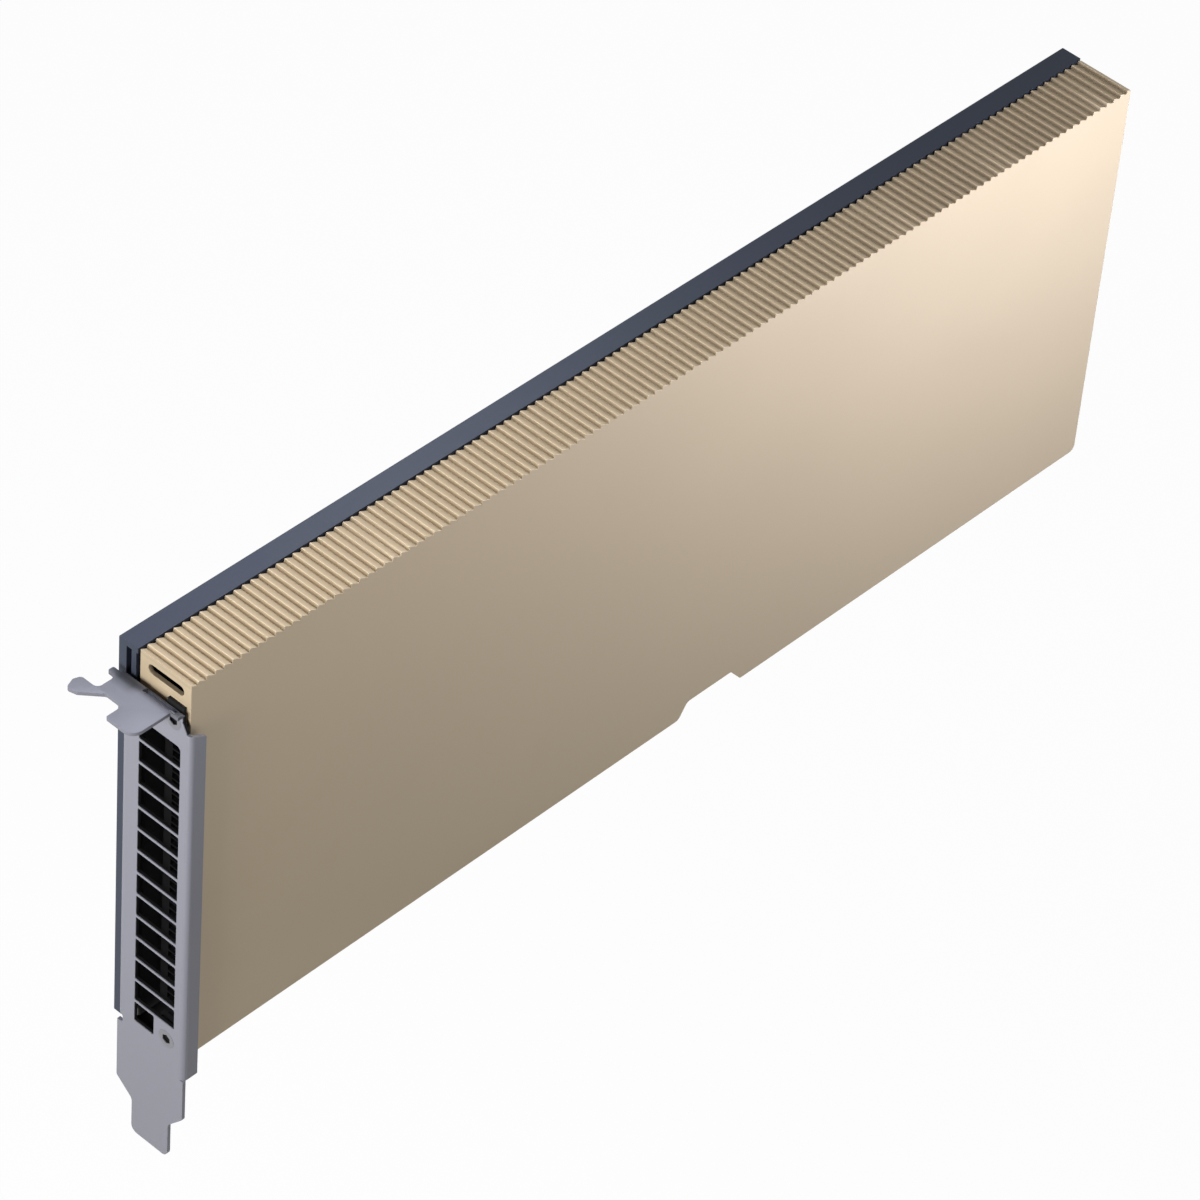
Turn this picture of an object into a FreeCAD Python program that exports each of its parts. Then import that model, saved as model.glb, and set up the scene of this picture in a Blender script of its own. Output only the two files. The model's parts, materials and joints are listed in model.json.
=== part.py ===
import FreeCAD, Part
import math
import os

from FreeCAD import Vector

# The card stands in its slot: X runs from the bracket to the far end, -Y is the gold front, +Z is up.
# The origin is the middle of the key notch, at the lower edge of the contact tab and the board's middle plane.

# Card
card_length = 267.7  # bracket's outer face to the far end
card_height = 111.15  # lower edge of the contact tab to the top of the card
board_thickness = 1.57
component_height = 14.47  # board's front face to the cover's front face
solder_height = 2.67  # board's back face to the backplate's back face
key_from_bracket = 57.15  # bracket's outer face to the middle of the key notch
seam = 0.3  # gap between neighbouring shells
press_gap = 0.05  # play of a screw or a bushing in its hole

# Board
board_from_bracket = 4.4  # bracket's outer face to the board's near edge
board_far_inset = 3.0
board_corner_radius = 1.5
tab_height = 8.25  # contact tab below the board's lower edge
tab_bevel = 0.45  # bevel of the board's faces along the tab's lower edge
key_width = 1.90
short_contact_run = 11.65  # tab's near edge to the key notch
long_contact_run = 71.35  # key notch to the tab's far edge
latch_gap = 2.2  # slot between the tab and the latch hook
latch_width = 5.2
latch_drop = 4.6  # hook below the board's lower edge
latch_barb = 1.4
contact_pitch = 1.0
contact_width = 0.70
contact_length = 4.3
contact_lift = 1.3  # contacts above the tab's lower edge
contact_from_key = 1.5  # middle of the first contact from the middle of the key notch
contact_margin = 0.4  # least distance from a contact to the end of its run
contact_plating = 0.05

# Gold cover
cover_above_board = 4.3  # cover's lower edge above the board's shoulders
cover_height = card_height - tab_height - cover_above_board
cover_gap = 0.8  # bracket's inner face to the cover's near end
front_wall = 1.0
top_wall = 1.4  # under the ribs
bottom_wall = 1.2
end_wall = 1.0
cover_corner_radius = 1.5
rib_pitch = 2.158
rib_depth = 0.85
rib_land = 1.52  # near end to the first riser
rib_rise = 0.20  # length of a riser along the card
rib_crest = 0.20  # flat on top of a rib
rib_tail = 0.5  # least land after the last riser
recess_from_bracket = 141.3  # latch recess in the cover's lower edge
recess_length = 18.8
recess_depth = 3.7
recess_slope = 2.4
recess_far_slope = 3.2
recess_radius = 1.5
slot_length = 9.4  # rounded slot in the cover's near end
slot_height = 2.3
slot_from_top = 3.1  # middle of the slot below the card's top
slot_from_front = 6.6
window_top = 14.5  # air window behind the vents, below the card's top
window_foot = 8.6  # and above the cover's lower edge
window_low_foot = 1.6
window_front = 1.5
window_step = 6.2
window_back = 14.0  # past the cover's back edge, so that the window is open to the board
lug_width = 5.0  # blocks in the cover that take the bracket's screws
lug_height = 7.0
lug_length = 6.5
lug_from_front = 2.9
upper_lug = 9.5  # bracket's upper screw below the card's top
lower_lug = 4.8  # bracket's lower screw above the cover's lower edge
post_radius = 2.1  # posts of the cover that stand on the board
post_count = 5
post_near = 14.0
post_far = 24.0
post_row_inset = 2.7  # post's middle from the inside of the nearest long wall

# Backplate
back_wall = 1.4
fold_wall = 1.3  # top strip
lip_wall = 0.75
lip_depth = 2.0
ear_depth = 11.0  # longer lip at the near end
ear_wall = 1.65
ear_inset = 0.4  # ear's front face behind the lip's
ear_back_wall = 2.0  # thicker back wall behind the ear
ear_gap = 0.2  # ear's far side to the board's near edge
backplate_gap = 0.4  # bracket's inner face to the backplate's near end
backplate_inset = 0.2  # cover's lower edge to the backplate's lower edge
backplate_radius = 0.3
standoff_radius = 3.1  # round the cooler's screws
post_standoff_radius = 2.6  # opposite the cover's posts
film_thickness = 0.25
film_inset = 3.0
film_lane = 3.4  # film's edge from the middles of the posts and bushings that it passes

# Bracket, a folded sheet
sheet = 0.8
bend_inside = 0.4
tongue_foot = 15.47  # bracket's lower end below the card's lower edge
bracket_width = 18.42
bracket_past_board = 0.46  # bracket's back edge behind the board's back face
tab_below_top = 6.6  # top of the screw tab below the card's top
tab_reach = 10.5
tab_front_inset = 4.4  # tab's front edge behind the bracket's front edge
flange_length = 3.85
flange_top = 10.9
flange_foot = 3.7  # below the cover's lower edge
flange_fall = 1.7  # how far the flange's top end falls towards its outer corner
flange_fall_start = 0.6
back_flange_length = 3.2
back_flange_top = 8.6
back_flange_foot = 2.25  # above the cover's lower edge
relief_height = 2.15
relief_depth = 1.5
neck_front = 0.5  # bracket's front edge above the flange, from the cover's front face
neck_foot = 8.6
shoulder_front = 1.85  # below the card's lower edge
shoulder_back = 3.05
shoulder_slope = 3.6
tongue_width = 10.19
tongue_inset = 4.4
tongue_radius = 1.6
vent_top = 15.15
vent_pitch = 5.775
vent_bar = 0.6
vent_foot = 2.1  # least height of the lowest vent above the cover's lower edge
vent_front = 0.85
vent_width = 10.95
half_vent_width = 5.4
vent_bevel = 0.2  # at the corners of each vent
vent_top_radius = 1.0  # front corner of the topmost vent
bend_slot_near = 1.75
bend_slot_far = 10.2
bend_slot_width = 1.4
hook_reach = 21.0  # tip of the tab's hook behind the cover's front face
ear_reach = 18.4
side_notch_width = 4.6
side_notch_middle = 4.15
side_notch_floor = 16.2
side_notch_radius = 1.2
end_notch_near = 9.6
end_notch_depth = 4.2

# Screws and bushings
bracket_screw_radius = 1.2
bracket_head_radius = 2.05
bracket_head_height = 0.7
bracket_screw_length = 5.5
plate_screw_radius = 1.1
plate_head_radius = 2.2
plate_head_height = 1.1
plate_screw_grip = 8.0  # length of a backplate screw
cooler_screw_radius = 1.2
cooler_head_radius = 2.6
cooler_head_height = 1.2
cooler_screw_grip = 5.8
socket_share = 0.55  # driver socket as a share of the head's radius
board_hole_play = 0.35
bushing_radius = 2.75
bushing_bore = 1.25
bushing_far_inset = 6.0
bushing_low = 22.0
bushing_spacing = 60.0

# Heat sink
sink_near = 6.0  # bracket's outer face to the fins
sink_far = 6.5  # fins to the card's far end
sink_lane = 6.8  # cover's lower edge to the fins
sink_top_lane = 5.2  # fins below the inside of the cover's top wall
base_thickness = 2.0
base_height = 3.45  # board's front face to the base
fin_thickness = 0.4
fin_pitch = 1.9
fin_gap = 0.3  # fin tips to the cover's front wall
copper_thickness = 1.0
copper_size = 80.0
copper_margin = 2.175  # copper plate inside the fins' upper and lower edges
boss_radius = 2.5
boss_play = 0.5
boss_x = 21.5  # cooler screws from the processor's middle
boss_z = 31.0

# Processor and memory
processor_from_bracket = 118.0
substrate_size = 45.0
substrate_height = 1.55
die_length = 28.5
die_width = 22.0
die_height = 0.80
paste_thickness = 0.10
frame_width = 4.0
frame_height = 0.6
memory_length = 14.0
memory_width = 12.0
memory_height = 1.15
memory_pitch = 16.0
memory_gap = 2.5  # memory from the processor's package

# Voltage regulator
phase_pitch = 9.6
choke_size = 7.0
choke_height = 3.0
choke_column = 58.0  # from the processor's middle
stage_length = 6.0
stage_width = 5.0
stage_height = 0.9
stage_column = 68.0
stage_pad = 0.9
capacitor_length = 7.3
capacitor_width = 4.3
capacitor_height = 2.8
capacitor_column = 49.0
side_phase_count = 4
side_column = -52.0
side_stage_column = -62.0
small_chip_length = 6.0
small_chip_width = 5.0
small_chip_height = 1.5
small_chip_column = -75.0
crystal_length = 3.2
crystal_width = 2.5
crystal_height = 0.8
crystal_offset = 14.0
ceramic_length = 2.0
ceramic_width = 1.2
ceramic_height = 0.8
ceramic_pitch = 4.0
ceramic_rows = 4
ceramic_columns = 5

# Power socket
way_pitch = 4.2
way_count = 4
way_size = 3.4
way_depth = 9.6
socket_wall = 1.2
socket_length = 13.0
socket_far_inset = 0.6
pin_size = 1.1
pin_recess = 1.6  # pin's tip behind the mouth
leg_near = 1.4  # first row of legs behind the housing
leg_pitch = 2.6
leg_past_board = 0.6
latch_ramp_width = 4.0
latch_ramp_length = 3.0
latch_ramp_height = 1.0
socket_clearance = 0.8

# Places that follow from the sizes
x_bracket = -key_from_bracket
x_inside = x_bracket + sheet
x_far = x_bracket + card_length
y_board_front = -board_thickness / 2
y_board_back = board_thickness / 2
y_front = y_board_front - component_height
y_back = y_board_back + solder_height
z_top = card_height
z_cover_foot = z_top - cover_height
z_flange_foot = z_cover_foot - flange_foot
z_back_flange_foot = z_cover_foot + back_flange_foot
vent_count = int((z_top - vent_top - z_cover_foot - vent_foot) / vent_pitch)  # the last one is narrow
x_cover = x_inside + cover_gap
y_lip = y_board_front - lip_wall
y_cover_back = y_lip - seam
y_cover_inside = y_front + front_wall
z_ceiling = z_top - rib_depth - top_wall
z_floor = z_cover_foot + bottom_wall
x_board = x_bracket + board_from_bracket
x_board_far = x_far - board_far_inset
z_board_top = z_top - fold_wall - press_gap
y_backplate_inside = y_back - back_wall
y_bracket_back = y_board_back + bracket_past_board
y_bracket_front = y_bracket_back - bracket_width
z_tab_top = z_top - tab_below_top
bend_outside = bend_inside + sheet
x_sink = x_bracket + sink_near
x_sink_far = x_far - sink_far
z_sink_low = z_cover_foot + sink_lane
z_sink_top = z_ceiling - sink_top_lane
y_base_back = y_board_front - base_height
y_base_front = y_base_back - base_thickness
y_fin_tip = y_cover_inside + fin_gap
y_copper_back = y_base_back + copper_thickness
x_processor = x_bracket + processor_from_bracket
z_processor = (z_sink_low + z_sink_top) / 2
memory_ring = substrate_size / 2 + memory_gap + memory_width / 2
phase_count = int((z_sink_top - z_sink_low) / phase_pitch)
x_socket_mouth = x_far - socket_far_inset
x_socket = x_socket_mouth - socket_length
socket_width = way_count * way_pitch + 2 * socket_wall
socket_height = 2 * way_pitch + 2 * socket_wall
z_socket = z_sink_top - socket_width / 2
y_socket_front = y_board_front - socket_height
x_bushing = x_far - bushing_far_inset
z_bushing = z_cover_foot + bushing_low


def spaced(first, last, count):
    """Evenly spaced places from first to last."""
    return [first + (last - first) * k / (count - 1) for k in range(count)]


def centred(middle, pitch, count):
    """Places at a pitch, centred on the middle."""
    return [middle + pitch * (k - (count - 1) / 2) for k in range(count)]


def block(x0, x1, y0, y1, z0, z1):
    """A box between two corners."""
    return Part.makeBox(x1 - x0, y1 - y0, z1 - z0, Vector(x0, y0, z0))


def corner_edges(before, corner, after):
    """Entry, arc and exit of a corner (u, v, radius) between its two neighbours."""
    middle = Vector(corner[0], corner[1], 0)
    radius = corner[2] if len(corner) > 2 else 0
    if radius == 0:
        return middle, None, middle
    back = (Vector(before[0], before[1], 0) - middle).normalize()
    ahead = (Vector(after[0], after[1], 0) - middle).normalize()
    half = back.getAngle(ahead) / 2
    reach = radius / math.tan(half)
    inward = (back + ahead).normalize()
    centre = middle + inward * (radius / math.sin(half))
    return middle + back * reach, centre - inward * radius, middle + ahead * reach


def prism(corners, axis, low, high):
    """A closed outline of corners (u, v) or (u, v, radius), carried along an axis from low to high."""
    places = {
        "x": lambda p: Vector(low, p.x, p.y),
        "y": lambda p: Vector(p.x, low, p.y),
        "z": lambda p: Vector(p.x, p.y, low),
    }
    place = places[axis]
    count = len(corners)
    turns = [corner_edges(corners[k - 1], corners[k], corners[(k + 1) % count]) for k in range(count)]
    edges = []
    for k in range(count):
        start, bow, end = turns[k]
        if bow is not None:
            edges.append(Part.Arc(place(start), place(bow), place(end)).toShape())
        following = turns[(k + 1) % count][0]
        if (following - end).Length > 1e-6:
            edges.append(Part.LineSegment(place(end), place(following)).toShape())
    face = Part.Face(Part.Wire(edges))
    run = {"x": Vector(1, 0, 0), "y": Vector(0, 1, 0), "z": Vector(0, 0, 1)}[axis]
    return face.extrude(run * (high - low))


def bevelled(u0, u1, v0, v1, bevel):
    """Corners of a rectangle with its corners cut off, from the lower left one round to the upper left one."""
    lower = [(u0, v0 + bevel), (u0 + bevel, v0), (u1 - bevel, v0), (u1, v0 + bevel)]
    upper = [(u1, v1 - bevel), (u1 - bevel, v1), (u0 + bevel, v1), (u0, v1 - bevel)]
    return lower + upper


def rod(x, y, z, axis, radius, length):
    """A cylinder that starts at a point and runs along an axis."""
    return Part.makeCylinder(radius, length, Vector(x, y, z), axis)


def drill_y(shape, x, z, radius):
    """The shape with a round hole through it along Y."""
    depth = 4 * component_height
    return shape.cut(rod(x, y_front - component_height, z, Vector(0, 1, 0), radius, depth))


def flat_head_screw(place, axis, head_radius, head_height, shank_radius, length):
    """A flat-head screw with a six-sided driver socket; its head's face is at the place."""
    profile = [
        Vector(0, 0, 0),
        Vector(head_radius, 0, 0),
        Vector(shank_radius, 0, head_height),
        Vector(shank_radius, 0, length),
        Vector(0, 0, length),
        Vector(0, 0, 0),
    ]
    body = Part.Face(Part.makePolygon(profile)).revolve(Vector(0, 0, 0), Vector(0, 0, 1), 360)
    across = head_radius * socket_share
    corners = [Vector(across * math.cos(k * math.pi / 3), across * math.sin(k * math.pi / 3), 0) for k in range(6)]
    socket = Part.Face(Part.makePolygon(corners + corners[:1])).extrude(Vector(0, 0, head_height * 0.8))
    screw = body.cut(socket)
    screw.Placement = FreeCAD.Placement(place, FreeCAD.Rotation(Vector(0, 0, 1), axis))
    return screw


def countersink(place, axis, head_radius, head_height, shank_radius, length):
    """The hole that a flat-head screw seats in, with its play."""
    cone = Part.makeCone(head_radius + press_gap, shank_radius + press_gap, head_height, place, axis)
    return cone.fuse(Part.makeCylinder(shank_radius + press_gap, length, place, axis))


def group(solids):
    """Separate solids in one node."""
    return Part.makeCompound(solids)


def joined(shapes):
    """Shapes that touch or overlap, as one solid without inner faces."""
    whole = shapes[0].fuse(shapes[1:])
    return whole.removeSplitter()


def post_places():
    """Middles of the cover's posts: one row along each long wall, clear of the latch recess."""
    rows = [z_ceiling - post_row_inset, z_floor + post_row_inset]
    columns = spaced(x_bracket + post_near, x_far - post_far, post_count)
    return [(x, z) for z in rows for x in columns]


def boss_places():
    """Middles of the heat sink's bosses round the processor."""
    return [(x_processor + a * boss_x, z_processor + b * boss_z) for a in (-1, 1) for b in (-1, 1)]


def bushing_places():
    """Middles of the far-end bushings."""
    return [(x_bushing, z_bushing), (x_bushing, z_bushing + bushing_spacing)]


def lug_places():
    """Heights of the two bracket screws."""
    return [z_top - upper_lug, z_cover_foot + lower_lug]


def rib_line():
    """Corners of the cover's top edge: each rib rises steeply and falls away towards the far end."""
    corners = []
    room = x_far - rib_tail - (x_cover + rib_land)
    count = int(room / rib_pitch) + 1
    for k in range(count):
        riser = x_cover + rib_land + k * rib_pitch
        corners.append((riser, z_top - rib_depth))
        corners.append((riser + rib_rise, z_top))
        corners.append((riser + rib_rise + rib_crest, z_top))
    return corners


def recess_line(lift, wall):
    """Corners of the lower edge round the latch recess, lifted by a wall where there is one."""
    start = x_bracket + recess_from_bracket - wall
    end = x_bracket + recess_from_bracket + recess_length + wall
    low = z_cover_foot + lift
    high = low + recess_depth
    return [
        (start, low, recess_radius),
        (start + recess_slope, high, recess_radius),
        (end - recess_far_slope, high, recess_radius / 2),
        (end, low, recess_radius / 2),
    ]


def cooler_cover():
    """The gold shell: ribbed top, latch recess, slotted near end with its air window, open far end and back."""
    slope = rib_depth / (rib_pitch - rib_rise - rib_crest)
    fall = slope * (rib_pitch - rib_rise - rib_crest - rib_land)
    lower = [(x_cover, z_cover_foot)] + recess_line(0, 0) + [(x_far, z_cover_foot, cover_corner_radius)]
    upper = [(x_far, z_top - rib_depth / 2)] + rib_line()[::-1] + [(x_cover, z_top - fall)]
    shell = prism(lower + upper, "y", y_front, y_cover_back)
    floor_line = [(x_cover + end_wall, z_floor)] + recess_line(bottom_wall, bottom_wall)
    room = floor_line + [(x_far + end_wall, z_floor), (x_far + end_wall, z_ceiling), (x_cover + end_wall, z_ceiling)]
    shell = shell.cut(prism(room, "y", y_cover_inside, y_cover_back + end_wall))
    parts = [shell]
    for x, z in post_places():
        parts.append(rod(x, y_cover_inside, z, Vector(0, 1, 0), post_radius, y_board_front - y_cover_inside))
    for z in lug_places():
        y = y_front + lug_from_front
        low, high = z - lug_height / 2, z + lug_height / 2
        parts.append(block(x_inside, x_inside + lug_length, y_cover_inside, y + lug_width / 2, low, high))
    cover = joined(parts)
    window = prism(
        [
            (y_front + window_front, z_top - window_top),
            (y_front + window_back, z_top - window_top),
            (y_front + window_back, z_cover_foot + window_low_foot),
            (y_front + window_step, z_cover_foot + window_low_foot),
            (y_front + window_step, z_cover_foot + window_foot),
            (y_front + window_front, z_cover_foot + window_foot),
        ],
        "x",
        x_cover - end_wall,
        x_cover + end_wall,
    )
    half = slot_height / 2
    y0 = y_front + slot_from_front - slot_length / 2
    y1 = y_front + slot_from_front + slot_length / 2
    z = z_top - slot_from_top
    slot = prism(
        [(y0, z - half, half * 0.95), (y1, z - half, half * 0.95), (y1, z + half, half * 0.95), (y0, z + half, half * 0.95)],
        "x",
        x_cover - end_wall,
        x_cover + end_wall,
    )
    cover = cover.cut(window).cut(slot)
    for x, z in post_places():
        depth = y_back - plate_screw_grip
        cover = cover.cut(rod(x, depth - seam, z, Vector(0, 1, 0), plate_screw_radius + press_gap, component_height))
    for z in lug_places():
        hole = rod(x_inside, y_front + lug_from_front, z, Vector(1, 0, 0), bracket_screw_radius + press_gap, lug_length)
        cover = cover.cut(hole)
    return cover


def backplate():
    """The dark shell: back wall, folded top strip with its lip, and standoffs that reach the board."""
    x0 = x_inside + backplate_gap
    foot = z_cover_foot + backplate_inset
    section = [
        (y_back, foot),
        (y_back, z_top, backplate_radius),
        (y_lip, z_top),
        (y_lip, z_top - lip_depth),
        (y_board_front, z_top - lip_depth),
        (y_board_front, z_top - fold_wall),
        (y_backplate_inside, z_top - fold_wall),
        (y_backplate_inside, foot),
    ]
    parts = [prism(section, "x", x0, x_far)]
    x1 = x_board - ear_gap
    parts.append(block(x0, x1, y_lip, y_lip + ear_wall, z_top - ear_depth, z_top - fold_wall))
    parts.append(block(x0, x1, y_back - ear_back_wall, y_backplate_inside, foot, z_top - fold_wall))
    standoffs = [(x, z, post_standoff_radius) for x, z in post_places()]
    standoffs += [(x, z, standoff_radius) for x, z in boss_places()]
    for x, z, radius in standoffs:
        length = y_backplate_inside - y_board_back
        parts.append(rod(x, y_board_back, z, Vector(0, 1, 0), radius, length))
    plate = joined(parts)
    plate = plate.cut(block(x0, x1, y_lip, y_lip + ear_inset, z_top - ear_depth, z_top - fold_wall))
    away = Vector(0, -1, 0)
    for x, z in post_places():
        place = Vector(x, y_back, z)
        plate = plate.cut(
            countersink(place, away, plate_head_radius, plate_head_height, plate_screw_radius, 2 * solder_height)
        )
    for x, z in boss_places():
        place = Vector(x, y_back, z)
        plate = plate.cut(
            countersink(place, away, cooler_head_radius, cooler_head_height, cooler_screw_radius, 2 * solder_height)
        )
    for x, z in bushing_places():
        plate = plate.cut(rod(x, y_board_back, z, Vector(0, 1, 0), bushing_radius + press_gap, 2 * solder_height))
    return plate


def insulating_film():
    """The film on the inside of the back wall, between the rows of posts, with a hole round each other standoff."""
    x0 = x_board + film_inset
    x1 = x_bushing - film_lane
    z0 = z_floor + post_row_inset + film_lane
    z1 = z_ceiling - post_row_inset - film_lane
    film = block(x0, x1, y_backplate_inside - film_thickness, y_backplate_inside, z0, z1)
    for x, z in boss_places():
        film = drill_y(film, x, z, standoff_radius + seam)
    return film


def circuit_board():
    """The board: contact tab with its key notch, latch hook, and every hole that something passes through."""
    near = -key_width / 2 - short_contact_run
    far = key_width / 2 + long_contact_run
    hook = far + latch_gap
    outline = [
        (x_board, tab_height, board_corner_radius),
        (near, tab_height),
        (near, 0, tab_bevel),
        (-key_width / 2, 0, tab_bevel),
        (-key_width / 2, tab_height - tab_bevel, key_width * 0.45),
        (key_width / 2, tab_height - tab_bevel, key_width * 0.45),
        (key_width / 2, 0, tab_bevel),
        (far, 0, tab_bevel),
        (far, tab_height, latch_gap * 0.45),
        (hook, tab_height, latch_gap * 0.45),
        (hook, tab_height - latch_drop + latch_barb),
        (hook - latch_barb / 2, tab_height - latch_drop + latch_barb / 2),
        (hook - latch_barb / 2, tab_height - latch_drop),
        (hook + latch_width - latch_barb, tab_height - latch_drop, latch_barb / 2),
        (hook + latch_width, tab_height - latch_drop / 2),
        (hook + latch_width, tab_height),
        (x_board_far, tab_height, board_corner_radius),
        (x_board_far, z_board_top, board_corner_radius),
        (x_board, z_board_top, board_corner_radius),
    ]
    board = prism(outline, "y", y_board_front, y_board_back)
    for side in (-1, 1):
        face = side * board_thickness / 2
        bevel = [(face, 0), (face - side * tab_bevel, 0), (face, tab_bevel * 2)]
        board = board.cut(prism(bevel, "x", near, far))
    for x, z in post_places():
        board = drill_y(board, x, z, plate_screw_radius + board_hole_play)
    for x, z in boss_places():
        board = drill_y(board, x, z, cooler_screw_radius + board_hole_play)
    for x, z in bushing_places():
        board = drill_y(board, x, z, bushing_bore + board_hole_play)
    for x, z in leg_places():
        half = pin_size / 2 + press_gap
        board = board.cut(block(x - half, x + half, y_board_front, y_board_back, z - half, z + half))
    return board


def contact_middles():
    """Middles of the contacts on one face of the tab, on both sides of the key notch."""
    short = int((key_width / 2 + short_contact_run - contact_margin - contact_from_key - contact_width / 2) / contact_pitch)
    long = int((key_width / 2 + long_contact_run - contact_margin - contact_from_key - contact_width / 2) / contact_pitch)
    left = [-contact_from_key - contact_pitch * k for k in range(short + 1)]
    right = [contact_from_key + contact_pitch * k for k in range(long + 1)]
    return left + right


def edge_contacts(y0, y1):
    """The plated contacts on one face of the tab."""
    half = contact_width / 2
    top = contact_lift + contact_length
    return group([block(x - half, x + half, y0, y1, contact_lift, top) for x in contact_middles()])


def bracket_profile(edge, inward, length, foot, top):
    """One side of the bracket: a flat strip that bends back along the card at an edge."""
    inner = edge + inward * sheet
    strip = edge + inward * bend_outside * 1.5
    corners = [
        (x_bracket, strip),
        (x_bracket, edge, bend_outside),
        (x_bracket + length, edge),
        (x_bracket + length, inner),
        (x_inside, inner, bend_inside),
        (x_inside, strip),
    ]
    return prism(corners, "z", foot, top)


def screw_tab():
    """The bracket's tab: bent outwards, with a side notch under its hook and a notch in its outer edge."""
    y_tab = y_bracket_front + tab_front_inset
    z_low = z_tab_top - sheet
    outer = x_bracket - tab_reach
    bend = prism(
        [
            (x_inside, z_low - bend_outside),
            (x_inside, z_tab_top, bend_outside),
            (x_bracket - bend_outside, z_tab_top),
            (x_bracket - bend_outside, z_low),
            (x_bracket, z_low, bend_inside),
            (x_bracket, z_low - bend_outside),
        ],
        "y",
        y_front + neck_front,
        y_bracket_back,
    )
    half = side_notch_width / 2
    notch_in = x_bracket - side_notch_middle + half
    notch_out = x_bracket - side_notch_middle - half
    floor = y_front + side_notch_floor
    mouth = y_front + end_notch_near
    depth = outer + end_notch_depth
    tip = y_front + hook_reach
    plan = [
        (x_bracket - bend_inside, y_front + neck_front),
        (x_bracket - bend_outside, y_tab, bend_inside),
        (outer, y_tab, bend_outside * 2),
        (outer, mouth, bend_inside),
        (depth, mouth, 1.6),
        (depth, mouth + 4.3, 1.0),
        (outer + 0.6, floor + 1.7, bend_inside),
        (outer, tip - 0.9, 0.8),
        (outer + 2.4, tip, 0.9),
        (notch_out, tip - 0.6, 0.9),
        (notch_out, floor, side_notch_radius),
        (notch_in, floor, side_notch_radius),
        (notch_in, y_front + ear_reach, bend_inside),
        (x_bracket - bend_inside, y_front + ear_reach, bend_inside),
    ]
    plate = prism(plan, "z", z_low, z_tab_top)
    width = bend_slot_width / 2
    middle = x_bracket - bend_inside / 2
    cut = block(
        middle - width,
        middle + width,
        y_front + bend_slot_near,
        y_front + bend_slot_far,
        z_low - bend_inside,
        z_tab_top + sheet,
    )
    return joined([bend, plate]).cut(cut)


def bracket_face():
    """The bracket's flat face with its shoulders and slot tongue."""
    foot = -tongue_foot
    tongue_back = y_bracket_back - tongue_inset
    tongue_front = tongue_back - tongue_width
    front_bend = y_bracket_front + bend_outside
    back_bend = y_bracket_back - bend_outside
    neck = y_front + neck_front
    z_start = z_tab_top - sheet - bend_outside
    outline = [
        (neck, z_start),
        (neck, z_top - neck_foot),
        (front_bend, z_top - flange_top),
        (front_bend, z_flange_foot),
        (y_bracket_front, z_flange_foot),
        (y_bracket_front, -shoulder_front, 1.0),
        (tongue_front, -shoulder_front - shoulder_slope * 1.2, tongue_radius),
        (tongue_front, foot, tongue_radius),
        (tongue_back, foot, tongue_radius),
        (tongue_back, -shoulder_back - shoulder_slope, tongue_radius),
        (y_bracket_back, -shoulder_back, 1.0),
        (y_bracket_back, z_back_flange_foot - relief_height),
        (y_bracket_back - relief_depth, z_back_flange_foot - relief_height, 0.6),
        (y_bracket_back - relief_depth, z_back_flange_foot, 0.6),
        (back_bend, z_back_flange_foot),
        (back_bend, z_start),
    ]
    return prism(outline, "x", x_bracket, x_inside)


def bracket():
    """The folded steel bracket: vented face, two side flanges, screw tab and slot tongue."""
    front = bracket_profile(y_bracket_front, 1, flange_length, z_flange_foot, z_top - flange_top)
    back_top = z_top - back_flange_top
    back = bracket_profile(y_bracket_back, -1, back_flange_length, z_back_flange_foot, back_top)
    parts = [bracket_face(), front, back, screw_tab()]
    whole = joined(parts)
    high = z_top - flange_top
    outer = x_bracket + flange_length
    wedge = [(x_bracket + flange_fall_start, high), (outer, high - flange_fall), (outer, high)]
    whole = whole.cut(prism(wedge, "y", y_bracket_front, y_bracket_front + bend_outside))
    y0 = y_front + vent_front
    for k in range(vent_count):
        top = z_top - vent_top - k * vent_pitch
        low = top - vent_pitch + vent_bar
        start = y0 if k < vent_count - 1 else y0 + vent_width - half_vent_width
        opening = bevelled(start, y0 + vent_width, low, top, vent_bevel)
        if k == 0:
            opening[6:] = [(start, top, vent_top_radius)]
        whole = whole.cut(prism(opening, "x", x_bracket - sheet, x_inside + sheet))
    for z in lug_places():
        place = Vector(x_bracket, y_front + lug_from_front, z)
        hole = countersink(
            place, Vector(1, 0, 0), bracket_head_radius, bracket_head_height, bracket_screw_radius, 2 * sheet
        )
        whole = whole.cut(hole)
    return whole


def bracket_screws():
    """Two flat-head screws through the bracket's face into the cover."""
    screws = []
    for z in lug_places():
        place = Vector(x_bracket, y_front + lug_from_front, z)
        screws.append(
            flat_head_screw(
                place,
                Vector(1, 0, 0),
                bracket_head_radius,
                bracket_head_height,
                bracket_screw_radius,
                bracket_screw_length,
            )
        )
    return group(screws)


def backplate_screws():
    """Flat-head screws through the backplate and the board into the cover's posts."""
    screws = []
    for x, z in post_places():
        place = Vector(x, y_back, z)
        screws.append(
            flat_head_screw(
                place, Vector(0, -1, 0), plate_head_radius, plate_head_height, plate_screw_radius, plate_screw_grip
            )
        )
    return group(screws)


def cooler_screws():
    """Flat-head screws that pull the heat sink onto the processor."""
    screws = []
    for x, z in boss_places():
        place = Vector(x, y_back, z)
        screws.append(
            flat_head_screw(
                place, Vector(0, -1, 0), cooler_head_radius, cooler_head_height, cooler_screw_radius, cooler_screw_grip
            )
        )
    return group(screws)


def extender_bushings():
    """Threaded bushings at the far end, between the board and the backplate's back face."""
    bushings = []
    for x, z in bushing_places():
        body = rod(x, y_board_back, z, Vector(0, 1, 0), bushing_radius, solder_height)
        bushings.append(drill_y(body, x, z, bushing_bore))
    return group(bushings)


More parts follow.
